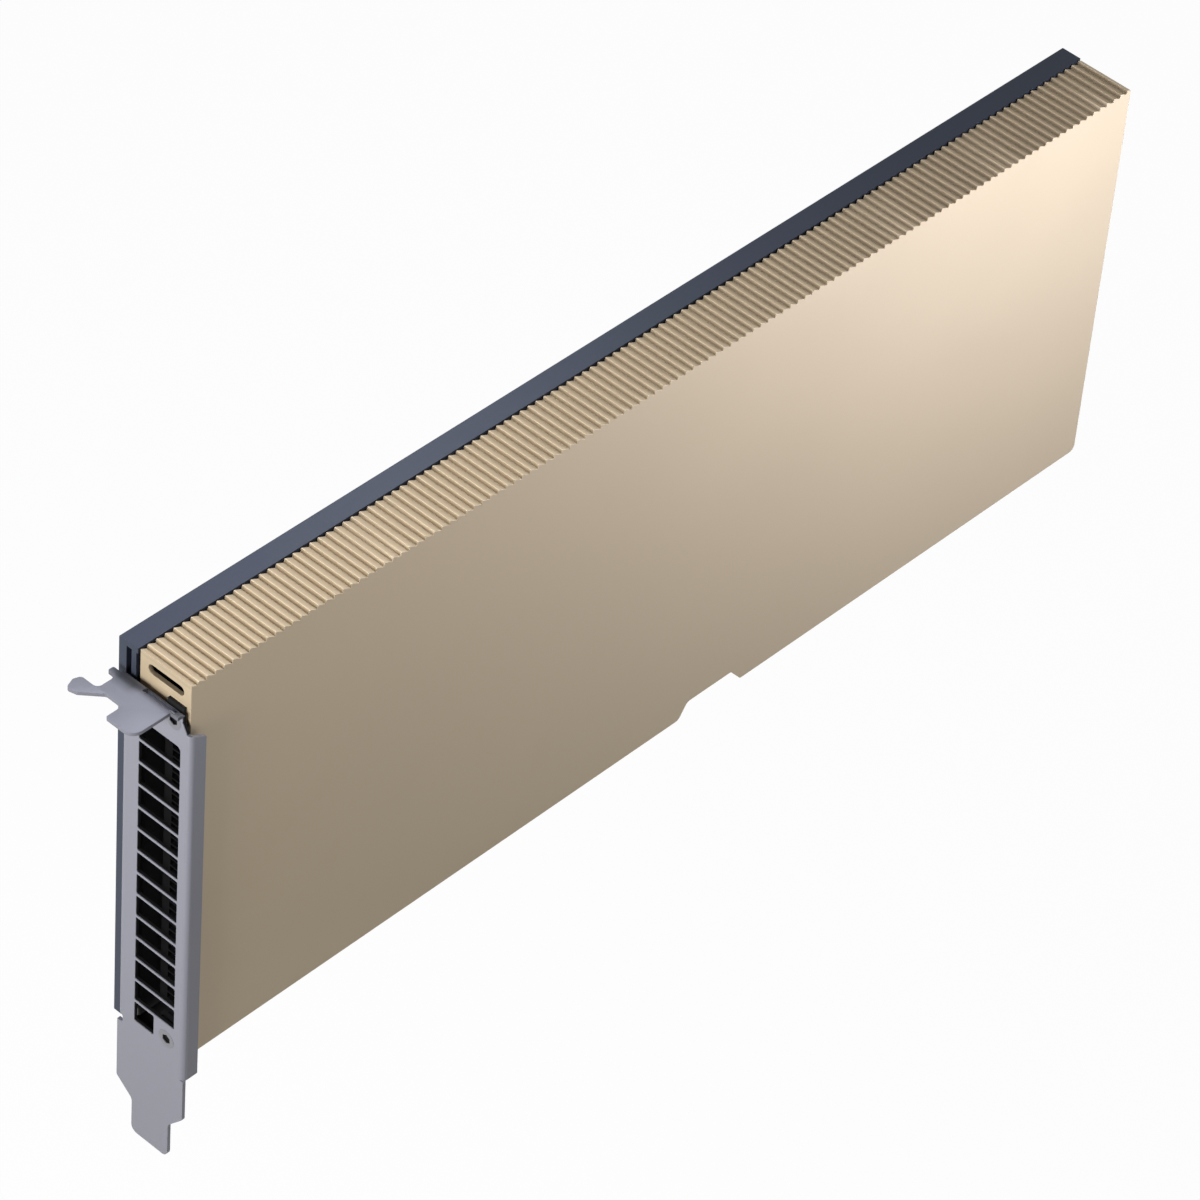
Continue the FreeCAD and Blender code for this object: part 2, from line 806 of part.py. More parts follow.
def fin_places():
    """Middles of the fins across the card."""
    count = int((z_sink_top - z_sink_low - fin_thickness) / fin_pitch) + 1
    return centred(z_processor, fin_pitch, count)


def heat_sink():
    """Base and fins in one piece, with bosses for its screws, lands over the power stages and room for the socket."""
    corners = [(y_base_back, z_sink_low), (y_base_back, z_sink_top), (y_base_front, z_sink_top)]
    for z in fin_places()[::-1]:
        corners.append((y_base_front, z + fin_thickness / 2))
        corners.append((y_fin_tip, z + fin_thickness / 2))
        corners.append((y_fin_tip, z - fin_thickness / 2))
        corners.append((y_base_front, z - fin_thickness / 2))
    corners.append((y_base_front, z_sink_low))
    sink = prism(corners, "x", x_sink, x_sink_far)
    parts = [sink]
    for x, z in boss_places():
        parts.append(rod(x, y_base_back, z, Vector(0, 1, 0), boss_radius, base_height))
    land = y_board_front - stage_height - stage_pad
    for column, count in ((stage_column, phase_count), (side_stage_column, side_phase_count)):
        x = x_processor + column
        reach = (count * phase_pitch) / 2
        x0, x1 = x - stage_length / 2, x + stage_length / 2
        parts.append(block(x0, x1, y_base_back, land, z_processor - reach, z_processor + reach))
    sink = joined(parts)
    for x, z in boss_places():
        depth = y_back - cooler_screw_grip - seam
        sink = sink.cut(rod(x, depth, z, Vector(0, 1, 0), cooler_screw_radius + press_gap, component_height))
    x0 = x_socket - leg_near - leg_pitch - pin_size - socket_clearance
    z0 = z_sink_top - socket_width - socket_clearance
    sink = sink.cut(block(x0, x_far, y_front, y_board_front, z0, z_sink_top + socket_clearance))
    for z in lug_places():
        low, high = z - lug_height / 2 - seam, z + lug_height / 2 + seam
        y1 = y_front + lug_from_front + lug_width / 2 + seam
        sink = sink.cut(block(x_bracket, x_inside + lug_length + seam, y_front, y1, low, high))
    return sink


def copper_plate():
    """The spreader plate between the processor and the base."""
    x0, x1 = x_processor - copper_size / 2, x_processor + copper_size / 2
    z0, z1 = z_sink_low + copper_margin, z_sink_top - copper_margin
    corners = [(x0, z0, 3), (x1, z0, 3), (x1, z1, 3), (x0, z1, 3)]
    plate = prism(corners, "y", y_base_back, y_copper_back)
    for x, z in boss_places():
        plate = drill_y(plate, x, z, boss_radius + boss_play)
    return plate


def on_board(x, z, length, width, height, lift=0.0):
    """A block on the board's front face, centred on a place, at a lift above the board."""
    top = y_board_front - lift
    return block(x - length / 2, x + length / 2, top - height, top, z - width / 2, z + width / 2)


def memory_places():
    """Memory packages round the processor: a column of four at each side and two above and below."""
    places = []
    for z in centred(z_processor, memory_pitch, 4):
        places.append((x_processor - memory_ring, z, memory_width, memory_length))
        places.append((x_processor + memory_ring, z, memory_width, memory_length))
    for x in centred(x_processor, memory_pitch, 2):
        places.append((x, z_processor - memory_ring, memory_length, memory_width))
        places.append((x, z_processor + memory_ring, memory_length, memory_width))
    return places


def package_frame():
    """The stiffening frame round the die."""
    outer = on_board(x_processor, z_processor, substrate_size, substrate_size, frame_height, substrate_height)
    hole = substrate_size - 2 * frame_width
    return outer.cut(on_board(x_processor, z_processor, hole, hole, frame_height, substrate_height))


def phase_places(column, side_column_place):
    """Places of one kind of regulator part: the main column and the memory's column."""
    main = [(x_processor + column, z) for z in centred(z_processor, phase_pitch, phase_count)]
    side = [(x_processor + side_column_place, z) for z in centred(z_processor, phase_pitch, side_phase_count)]
    return main + side


def regulator(places, length, width, height, lift=0.0):
    """Like parts of the regulator at their places."""
    return group([on_board(x, z, length, width, height, lift) for x, z in places])


def ceramic_capacitors():
    """Small capacitors on the board's back, behind the processor."""
    solids = []
    for x in centred(x_processor, ceramic_pitch, ceramic_columns):
        for z in centred(z_processor, ceramic_pitch, ceramic_rows):
            x0, z0 = x - ceramic_length / 2, z - ceramic_width / 2
            high = y_board_back + ceramic_height
            solids.append(block(x0, x0 + ceramic_length, y_board_back, high, z0, z0 + ceramic_width))
    return group(solids)


def way_places():
    """Middles of the socket's ways, with the row that each is in."""
    rows = [y_board_front - socket_wall - way_pitch / 2, y_board_front - socket_wall - way_pitch * 1.5]
    return [(y, z, row) for row, y in enumerate(rows) for z in centred(z_socket, way_pitch, way_count)]


def leg_places():
    """Middles of the legs where they pass through the board."""
    return [(x_socket - leg_near - leg_pitch * row, z) for y, z, row in way_places()]


def power_socket():
    """The socket's housing: eight ways open at the far end and a latch ramp on its front."""
    low, high = z_socket - socket_width / 2, z_socket + socket_width / 2
    housing = block(x_socket, x_socket_mouth, y_socket_front, y_board_front, low, high)
    ramp = prism(
        [
            (x_socket_mouth - latch_ramp_length, y_socket_front),
            (x_socket_mouth - latch_ramp_length, y_socket_front - latch_ramp_height),
            (x_socket_mouth - latch_ramp_height / 2, y_socket_front),
        ],
        "z",
        z_socket - latch_ramp_width / 2,
        z_socket + latch_ramp_width / 2,
    )
    housing = joined([housing, ramp])
    for y, z, row in way_places():
        half = way_size / 2
        bevel = half * 0.4 if row else 0
        corners = [(y - half, z - half, bevel), (y + half, z - half), (y + half, z + half), (y - half, z + half, bevel)]
        housing = housing.cut(prism(corners, "x", x_socket_mouth - way_depth, x_socket_mouth))
        hole = pin_size / 2
        housing = housing.cut(block(x_socket, x_socket_mouth, y - hole, y + hole, z - hole, z + hole))
    return housing


def power_pins():
    """The socket's pins: straight through the housing, then down through the board."""
    half = pin_size / 2
    solids = []
    for (y, z, row), (x, leg_z) in zip(way_places(), leg_places()):
        run = block(x - half, x_socket_mouth - pin_recess, y - half, y + half, z - half, z + half)
        leg = block(x - half, x + half, y - half, y_board_back + leg_past_board, z - half, z + half)
        solids.append(joined([run, leg]))
    return group(solids)


def build():
    """Every node of the card by its name."""
    die_top = substrate_height + die_height
    choke_places = phase_places(choke_column, side_column)
    stage_places = phase_places(stage_column, side_stage_column)
    main_only = [(x_processor + capacitor_column, z) for z in centred(z_processor, phase_pitch, phase_count)]
    memory = memory_places()
    pad_height = base_height - copper_thickness - memory_height
    chip_x = x_processor + small_chip_column
    return {
        "cooler_cover": cooler_cover(),
        "backplate": backplate(),
        "bracket": bracket(),
        "bracket_screws": bracket_screws(),
        "circuit_board": circuit_board(),
        "edge_contacts_front": edge_contacts(y_board_front - contact_plating, y_board_front),
        "edge_contacts_back": edge_contacts(y_board_back, y_board_back + contact_plating),
        "heat_sink": heat_sink(),
        "copper_plate": copper_plate(),
        "thermal_paste": on_board(x_processor, z_processor, die_length, die_width, paste_thickness, die_top),
        "package_substrate": on_board(x_processor, z_processor, substrate_size, substrate_size, substrate_height),
        "processor_die": on_board(x_processor, z_processor, die_length, die_width, die_height, substrate_height),
        "package_frame": package_frame(),
        "memory_chips": group([on_board(x, z, a, b, memory_height) for x, z, a, b in memory]),
        "memory_pads": group([on_board(x, z, a, b, pad_height, memory_height) for x, z, a, b in memory]),
        "chokes": regulator(choke_places, choke_size, choke_size, choke_height),
        "choke_pads": regulator(choke_places, choke_size, choke_size, base_height - choke_height, choke_height),
        "power_stages": regulator(stage_places, stage_width, stage_length, stage_height),
        "power_stage_pads": regulator(stage_places, stage_width, stage_length, stage_pad, stage_height),
        "bulk_capacitors": regulator(main_only, capacitor_width, capacitor_length, capacitor_height),
        "firmware_chip": on_board(chip_x, z_processor, small_chip_width, small_chip_length, small_chip_height),
        "clock_crystal": on_board(
            chip_x, z_processor + crystal_offset, crystal_length, crystal_width, crystal_height
        ),
        "ceramic_capacitors": ceramic_capacitors(),
        "power_socket": power_socket(),
        "power_pins": power_pins(),
        "insulating_film": insulating_film(),
        "cooler_screws": cooler_screws(),
        "backplate_screws": backplate_screws(),
        "extender_bushings": extender_bushings(),
    }


os.makedirs("parts", exist_ok=True)
for name, shape in build().items():
    shape.exportStep("parts/" + name + ".step")
    print(name, len(shape.Solids), round(shape.Volume, 2), shape.isValid())
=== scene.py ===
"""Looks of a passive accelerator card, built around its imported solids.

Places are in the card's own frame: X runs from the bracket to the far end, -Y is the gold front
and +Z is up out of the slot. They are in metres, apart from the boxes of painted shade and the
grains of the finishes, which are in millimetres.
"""

from __future__ import annotations

import json
import logging
import math
from dataclasses import dataclass, field
from enum import Enum

import bmesh
import bpy
import numpy as np
from mathutils import Matrix, Vector


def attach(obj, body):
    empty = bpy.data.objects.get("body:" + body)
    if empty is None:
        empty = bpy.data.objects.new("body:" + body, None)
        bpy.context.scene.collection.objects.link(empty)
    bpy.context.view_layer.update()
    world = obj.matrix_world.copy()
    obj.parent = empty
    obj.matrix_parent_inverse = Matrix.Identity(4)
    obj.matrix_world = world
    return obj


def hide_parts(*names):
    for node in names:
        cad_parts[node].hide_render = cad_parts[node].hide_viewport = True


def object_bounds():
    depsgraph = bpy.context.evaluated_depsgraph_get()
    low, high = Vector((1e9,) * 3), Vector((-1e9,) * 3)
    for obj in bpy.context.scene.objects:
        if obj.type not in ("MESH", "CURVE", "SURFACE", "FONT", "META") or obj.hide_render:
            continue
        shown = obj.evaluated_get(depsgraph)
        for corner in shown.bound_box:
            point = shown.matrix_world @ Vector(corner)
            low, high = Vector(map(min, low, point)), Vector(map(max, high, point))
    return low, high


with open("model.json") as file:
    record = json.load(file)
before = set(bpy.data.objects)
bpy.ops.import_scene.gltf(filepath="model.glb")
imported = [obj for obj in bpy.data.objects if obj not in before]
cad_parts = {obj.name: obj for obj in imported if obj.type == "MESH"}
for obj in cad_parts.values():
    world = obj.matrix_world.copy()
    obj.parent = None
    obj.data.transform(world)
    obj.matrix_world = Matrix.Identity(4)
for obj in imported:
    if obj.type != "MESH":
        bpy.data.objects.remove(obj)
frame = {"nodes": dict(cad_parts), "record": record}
CAD_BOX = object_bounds()

log = logging.getLogger("card")

MM = 0.001

Colour = tuple[float, float, float]
Point = tuple[float, float, float]
Node = bpy.types.Node
Socket = bpy.types.NodeSocket
Tree = bpy.types.NodeTree

VALUE = "NodeSocketFloat"
VECTOR = "NodeSocketVector"
MATH = "ShaderNodeMath"
VECTOR_MATH = "ShaderNodeVectorMath"

WHITE = (1.0, 1.0, 1.0, 1.0)
# Black of the painted shade: inside the vents, the cover's near end and the screws' sockets.
PAINTED_SHADE_BLACK = (0.004, 0.004, 0.004, 1.0)
PLATED_HOLE = (0.35, 0.28, 0.12, 1.0)
FULLY_ROUGH = 1.0


# ---------------------------------------------------------------- shader effects


class Grain(Enum):
    """The kinds of fine surface that a finish can have."""

    BLASTED = "blasted"
    BRUSHED = "brushed"
    MOULDED = "moulded"
    LAMINATE = "laminate"
    SMOOTH = "smooth"


# What a place is multiplied by before the grain reads it: below 1, the grain is longer along that axis.
EVEN_STRETCH = (1.0, 1.0, 1.0)
STRETCHES = {Grain.BRUSHED: (1.0, 1.0, 0.04), Grain.LAMINATE: (0.5, 1.0, 1.0)}

# Cells of each effect's pattern in a metre.
PATCH_SCALE = 22.0
MARK_SCALE = 45.0
TRACK_SCALE = 1000.0

# The values of its texture at which each mask is 0 and 1.
MARK_BAND = (0.52, 0.75)
TRACK_BAND = (0.55, 0.65)
HOLE_BAND = (0.13, 0.09)

# The board's tracks: a sine along the card, bent so that they jog.
TRACK_WAVE = {"Scale": 0.32, "Distortion": 3.0, "Detail": 0.0, "Detail Scale": 0.25}
HOLE_CELLS = 0.45


def new_group(name: str, inputs: dict[str, str], outputs: dict[str, str]) -> Tree:
    """Makes an empty shader node group with named sockets.

    Args:
        name: The group's name.
        inputs: Socket type of each input, by its name.
        outputs: Socket type of each output, by its name.

    Returns:
        The group's node tree, with its input and output nodes in place.
    """
    tree = bpy.data.node_groups.new(name, "ShaderNodeTree")
    for socket, kind in inputs.items():
        tree.interface.new_socket(name=socket, in_out="INPUT", socket_type=kind)
    for socket, kind in outputs.items():
        tree.interface.new_socket(name=socket, in_out="OUTPUT", socket_type=kind)
    tree.nodes.new("NodeGroupInput").name = "in"
    tree.nodes.new("NodeGroupOutput").name = "out"
    return tree


def joined(tree: Tree, kind: str, operation: str, one: Socket, other: Socket) -> Socket:
    """Puts two values or two vectors together by an operation.

    Args:
        tree: The tree that gets the node.
        kind: MATH for values, VECTOR_MATH for vectors.
        operation: The operation's name.
        one: The first value or vector.
        other: The second value or vector.

    Returns:
        The result's socket.
    """
    node = tree.nodes.new(kind)
    node.operation = operation
    tree.links.new(one, node.inputs[0])
    tree.links.new(other, node.inputs[1])
    return node.outputs[0]


def scaled(tree: Tree, vector: Socket, factor: Socket) -> Socket:
    """Multiplies a vector by a value.

    Args:
        tree: The tree that gets the node.
        vector: The vector.
        factor: The value.

    Returns:
        The product's socket.
    """
    node = tree.nodes.new(VECTOR_MATH)
    node.operation = "SCALE"
    tree.links.new(vector, node.inputs[0])
    tree.links.new(factor, node.inputs["Scale"])
    return node.outputs[0]


def noise(tree: Tree, place: Socket, detail: float, roughness: float) -> Node:
    """Adds a noise texture whose scale is 1.

    Args:
        tree: The tree that gets the node.
        place: The place that the noise reads.
        detail: Number of octaves.
        roughness: Weight of the finer octaves.

    Returns:
        The noise node.
    """
    node = tree.nodes.new("ShaderNodeTexNoise")
    node.inputs["Scale"].default_value = 1.0
    node.inputs["Detail"].default_value = detail
    node.inputs["Roughness"].default_value = roughness
    tree.links.new(place, node.inputs["Vector"])
    return node


def banded(tree: Tree, value: Socket, band: tuple[float, float]) -> Socket:
    """Turns a texture's value into a mask that goes from 0 to 1 across a band.

    Args:
        tree: The tree that gets the node.
        value: The texture's value.
        band: The values at which the mask is 0 and 1.

    Returns:
        The mask's socket.
    """
    node = tree.nodes.new("ShaderNodeMapRange")
    node.inputs["From Min"].default_value = band[0]
    node.inputs["From Max"].default_value = band[1]
    tree.links.new(value, node.inputs["Value"])
    return node.outputs["Result"]


def faded(tree: Tree, mask: Socket, plain: Socket, last: float | tuple[float, ...]) -> Socket:
    """Fades a colour or a value into another by a mask.

    Args:
        tree: The tree that gets the node.
        mask: The mask.
        plain: The colour or value where the mask is 0.
        last: The colour or value where the mask is 1.

    Returns:
        The faded colour's or value's socket.
    """
    mix = tree.nodes.new("ShaderNodeMix")
    mix.data_type = "FLOAT" if isinstance(last, float) else "RGBA"
    mix.inputs["B"].default_value = last
    tree.links.new(mask, mix.inputs["Factor"])
    tree.links.new(plain, mix.inputs["A"])
    return mix.outputs["Result"]


def placed(tree: Tree, group: Tree, place: Socket, values: dict[str, float | Point]) -> Node:
    """Places a shader effect in a material with its own values.

    Args:
        tree: The material's tree.
        group: The effect.
        place: The object's coordinates.
        values: The effect's other inputs, by name.

    Returns:
        The effect's node.
    """
    node = tree.nodes.new("ShaderNodeGroup")
    node.node_tree = group
    for name, value in values.items():
        node.inputs[name].default_value = value
    tree.links.new(place, node.inputs["Place"])
    return node


def grain_group() -> Tree:
    """Grain of a blasted, brushed or moulded face.

    The place is stretched along each axis, then read by a fine noise for the grain's height and by a slow one
    for patches of finish.

    Returns:
        The group, with outputs Height and Patches.
    """
    tree = new_group(
        "surface_grain",
        {"Place": VECTOR, "Stretch": VECTOR, "Fine": VALUE, "Slow": VALUE},
        {"Height": VALUE, "Patches": VALUE},
    )
    start, end = tree.nodes["in"], tree.nodes["out"]
    drawn = joined(tree, VECTOR_MATH, "MULTIPLY", start.outputs["Place"], start.outputs["Stretch"])
    fine = noise(tree, scaled(tree, drawn, start.outputs["Fine"]), detail=3.0, roughness=0.6)
    slow = noise(tree, scaled(tree, drawn, start.outputs["Slow"]), detail=2.0, roughness=0.5)
    tree.links.new(fine.outputs["Fac"], end.inputs["Height"])
    tree.links.new(slow.outputs["Fac"], end.inputs["Patches"])
    return tree


def marks_group() -> Tree:
    """Faint marks of handling: a warped noise, cut so that only its highest parts show.

    Returns:
        The group, with the output Marks.
    """
    tree = new_group("handling_marks", {"Place": VECTOR, "Scale": VALUE}, {"Marks": VALUE})
    start, end = tree.nodes["in"], tree.nodes["out"]
    place = scaled(tree, start.outputs["Place"], start.outputs["Scale"])
    warped = noise(tree, place, detail=6.0, roughness=0.65)
    warped.inputs["Distortion"].default_value = 0.8
    tree.links.new(banded(tree, warped.outputs["Fac"], MARK_BAND), end.inputs["Marks"])
    return tree


def traces_group() -> Tree:
    """Tracks and plated holes under a board's solder mask.

    Tracks are the crests of a bent sine along the card, and the holes are the middles of a cell pattern.

    Returns:
        The group, with outputs Tracks and Holes.
    """
    tree = new_group("board_tracks", {"Place": VECTOR, "Pitch": VALUE}, {"Tracks": VALUE, "Holes": VALUE})
    start, end = tree.nodes["in"], tree.nodes["out"]
    place = scaled(tree, start.outputs["Place"], start.outputs["Pitch"])
    wave = tree.nodes.new("ShaderNodeTexWave")
    wave.wave_type = "BANDS"
    wave.bands_direction = "X"
    for name, value in TRACK_WAVE.items():
        wave.inputs[name].default_value = value
    tree.links.new(place, wave.inputs["Vector"])
    cells = tree.nodes.new("ShaderNodeTexVoronoi")
    cells.inputs["Scale"].default_value = HOLE_CELLS
    tree.links.new(place, cells.inputs["Vector"])
    tree.links.new(banded(tree, wave.outputs["Fac"], TRACK_BAND), end.inputs["Tracks"])
    tree.links.new(banded(tree, cells.outputs["Distance"], HOLE_BAND), end.inputs["Holes"])
    return tree


def painted_shade_group() -> Tree:
    """Mask of the inside of a box of painted shade.

    Along each axis the mask is the smaller of place - low and high - place, over the fade and held between 0 and 1.
    The three and the strength are multiplied.

    Returns:
        The group, with the output Mask.
    """
    tree = new_group(
        "painted_shade",
        {"Place": VECTOR, "Low": VECTOR, "High": VECTOR, "Fade": VECTOR, "Strength": VALUE},
        {"Mask": VALUE},
    )
    start, end = tree.nodes["in"], tree.nodes["out"]
    above = joined(tree, VECTOR_MATH, "SUBTRACT", start.outputs["Place"], start.outputs["Low"])
    below = joined(tree, VECTOR_MATH, "SUBTRACT", start.outputs["High"], start.outputs["Place"])
    inside = joined(tree, VECTOR_MATH, "MINIMUM", above, below)
    axes = tree.nodes.new("ShaderNodeSeparateXYZ")
    tree.links.new(joined(tree, VECTOR_MATH, "DIVIDE", inside, start.outputs["Fade"]), axes.inputs[0])
    mask = start.outputs["Strength"]
    for axis in axes.outputs:
        held = tree.nodes.new("ShaderNodeClamp")
        tree.links.new(axis, held.inputs["Value"])
        mask = joined(tree, MATH, "MULTIPLY", mask, held.outputs["Result"])
    tree.links.new(mask, end.inputs["Mask"])
    return tree


@dataclass
class Effects:
    """The shader effects that more than one finish uses, each made once."""

    grain: Tree = field(default_factory=grain_group)
    marks: Tree = field(default_factory=marks_group)
    tracks: Tree = field(default_factory=traces_group)
    shade: Tree = field(default_factory=painted_shade_group)


# ---------------------------------------------------------------- finishes


@dataclass(frozen=True)
class PaintedShade:
    """A box of painted shade, in which a finish's colour turns black, as inside the vents, or only darker.

    Attributes:
        low: Its lowest corner in millimetres.
        high: Its highest corner in millimetres.
        fade: Widths in millimetres over which the black sets in along each axis.
        strength: 1 for black, less for a painted shade that is only darker.
    """

    low: Point
    high: Point
    fade: Point = (0.1, 0.1, 0.1)
    strength: float = 1.0

    def mask(self, tree: Tree, effects: Effects, place: Socket) -> Socket:
        """The mask of the box in a material.

        Args:
            tree: The material's tree.
            effects: The shared shader effects.
            place: The object's coordinates.

        Returns:
            The mask's socket.
        """
        corners = {"Low": self.low, "High": self.high, "Fade": self.fade}
        values = {name: tuple(v * MM for v in corner) for name, corner in corners.items()}
        return placed(tree, effects.shade, place, values | {"Strength": self.strength}).outputs["Mask"]


@dataclass(frozen=True)
class Finish:
    """One finish of the card and how its material is worked out.

    Attributes:
        name: The record's material slot.
        colour: Plain colour, linear.
        metallic: Share of bare metal.
        roughness: Mean roughness.
        grain: Kind of fine surface.
        grain_size: Size of a grain in millimetres.
        grain_depth: Depth of the grain in millimetres.
        spread: How far colour and roughness drift in patches.
        marks: Strength of the faint marks of handling.
        tracks: Colour of the tracks under a solder mask, or None.
        specular: Strength of the plain reflection; 0.5 is that of a common plastic or lacquer.
        painted_shades: Boxes of painted shade, in which the colour turns black or darker and the surface fully
            rough.
    """

    name: str
    colour: Colour
    metallic: float = 0.0
    roughness: float = 0.5
    grain: Grain = Grain.SMOOTH
    grain_size: float = 0.2
    grain_depth: float = 0.004
    spread: float = 0.06
    marks: float = 0.0
    tracks: Colour | None = None
    specular: float = 0.5
    painted_shades: tuple[PaintedShade, ...] = ()

    def material(self, effects: Effects) -> bpy.types.Material:
        """Makes the node material.

        Args:
            effects: The shared shader effects.

        Returns:
            The finished material.
        """
        material = bpy.data.materials.new(self.name)
        material.use_nodes = True
        tree = material.node_tree
        shader = tree.nodes["Principled BSDF"]
        shader.inputs["Metallic"].default_value = self.metallic
        shader.inputs["Specular IOR Level"].default_value = self.specular
        place = tree.nodes.new("ShaderNodeTexCoord").outputs["Object"]
        stretch = STRETCHES.get(self.grain, EVEN_STRETCH)
        fine = 1.0 / (self.grain_size * MM)
        grain = placed(tree, effects.grain, place, {"Stretch": stretch, "Fine": fine, "Slow": PATCH_SCALE})
        colour = self.patched_colour(tree, grain.outputs["Patches"])
        if self.tracks is not None:
            colour = self.tracked_colour(tree, effects, place, colour)
        roughness = self.patched_roughness(tree, effects, place, grain.outputs["Patches"])
        # Painted shade: inside each box the colour fades to black or darker and the roughness to full.
        for shade in self.painted_shades:
            mask = shade.mask(tree, effects, place)
            colour = faded(tree, mask, colour, PAINTED_SHADE_BLACK)
            roughness = faded(tree, mask, roughness, FULLY_ROUGH)
        tree.links.new(colour, shader.inputs["Base Color"])
        tree.links.new(roughness, shader.inputs["Roughness"])
        bump = tree.nodes.new("ShaderNodeBump")
        bump.inputs["Strength"].default_value = 1.0
        bump.inputs["Distance"].default_value = self.grain_depth * MM
        tree.links.new(grain.outputs["Height"], bump.inputs["Height"])
        tree.links.new(bump.outputs["Normal"], shader.inputs["Normal"])
        return material

    def patched_colour(self, tree: Tree, patches: Socket) -> Socket:
        """The plain colour, a little darker and lighter in slow patches.

        Args:
            tree: The material's tree.
            patches: The slow noise.

        Returns:
            The colour's socket.
        """
        mix = tree.nodes.new("ShaderNodeMix")
        mix.data_type = "RGBA"
        low, high = 1.0 - self.spread, 1.0 + self.spread
        mix.inputs["A"].default_value = (*[c * low for c in self.colour], 1.0)
        mix.inputs["B"].default_value = (*[min(1.0, c * high) for c in self.colour], 1.0)
        tree.links.new(patches, mix.inputs["Factor"])
        return mix.outputs["Result"]

    def tracked_colour(self, tree: Tree, effects: Effects, place: Socket, colour: Socket) -> Socket:
        """The colour with tracks and plated holes showing through it.

        Args:
            tree: The material's tree.
            effects: The shared shader effects.
            place: The object's coordinates.
            colour: The colour under the tracks.

        Returns:
            The colour's socket.
        """
        tracks = placed(tree, effects.tracks, place, {"Pitch": TRACK_SCALE})
        colour = faded(tree, tracks.outputs["Tracks"], colour, (*self.tracks, 1.0))
        return faded(tree, tracks.outputs["Holes"], colour, PLATED_HOLE)

    def patched_roughness(self, tree: Tree, effects: Effects, place: Socket, patches: Socket) -> Socket:
        """The mean roughness with slow patches and faint marks.

        Args:
            tree: The material's tree.
            effects: The shared shader effects.
            place: The object's coordinates.
            patches: The slow noise.

        Returns:
            The roughness's socket.
        """
        span = tree.nodes.new("ShaderNodeMapRange")
        span.inputs["To Min"].default_value = self.roughness * (1.0 - self.spread)
        span.inputs["To Max"].default_value = min(1.0, self.roughness * (1.0 + self.spread))
        tree.links.new(patches, span.inputs["Value"])
        if not self.marks:
            return span.outputs["Result"]
        marks = placed(tree, effects.marks, place, {"Scale": MARK_SCALE})
        add = tree.nodes.new(MATH)
        add.operation = "MULTIPLY_ADD"
        add.inputs[1].default_value = self.marks
        tree.links.new(marks.outputs["Marks"], add.inputs[0])
        tree.links.new(span.outputs["Result"], add.inputs[2])
        return add.outputs["Value"]


# Painted shade, black, on the cut edges of the bracket's sheet inside the column of vents,
# and in the relief beside its front flange.
VENT_SHADES = (
    PaintedShade((-57.02, -14.6, 15.0), (-56.1, -3.3, 96.3)),
    PaintedShade((-57.02, -16.9, 100.2), (-56.1, -14.3, 104.0)),
)
# Painted shade on the screw tab's upper face, darker toward its fold.
TAB_SHADES = (
    PaintedShade((-59.3, -16.0, 103.6), (-55.9, 6.5, 105.5), (2.0, 0.5, 0.2), 0.6),
    PaintedShade((-61.0, -5.0, 103.6), (-55.9, 2.5, 105.5), (2.5, 2.0, 0.2), 0.5),
    PaintedShade((-70.0, -16.0, 103.6), (-57.0, 6.5, 105.5), (1.0, 0.5, 0.2), 0.2),
)
# Painted shade, black, on the bracket's screws below the face of the sheet: their sockets and shanks.
SCREW_SHADES = (PaintedShade((-57.02, -18.0, 10.0), (-40.0, 5.0, 110.0)),)
# Painted shade, black, inside the near end: behind the vents, above them beyond the end wall,
# and the cover's lug at the top vent.
INNER_SHADES = (
    PaintedShade((-56.2, -14.4, 12.9), (-40.0, 4.0, 101.0), (0.2, 0.2, 0.2)),
    PaintedShade((-54.3, -14.1, 95.0), (-40.0, 4.0, 109.3), (0.3, 0.3, 0.3)),
    PaintedShade((-56.5, -15.2, 96.0), (-55.6, -3.0, 105.7), (0.05, 0.05, 0.05)),
)
# Painted shade in the grooves between the ribs of the cover's top, a little darker, and more so toward the far end.
GROOVE_SHADES = (
    PaintedShade((-56.0, -15.1, 109.8), (215.0, 0.0, 110.85), (0.2, 0.2, 0.35), 0.1),
    PaintedShade((-15.0, -15.1, 109.8), (330.0, 0.0, 110.85), (120.0, 0.2, 0.35), 0.22),
)
# Painted shade, black, on the board's near lower corner, which shows through the lowest vent.
BOARD_SHADES = (PaintedShade((-57.0, -2.0, 7.0), (-46.0, 0.2, 14.0), (2.0, 0.3, 0.3)),)

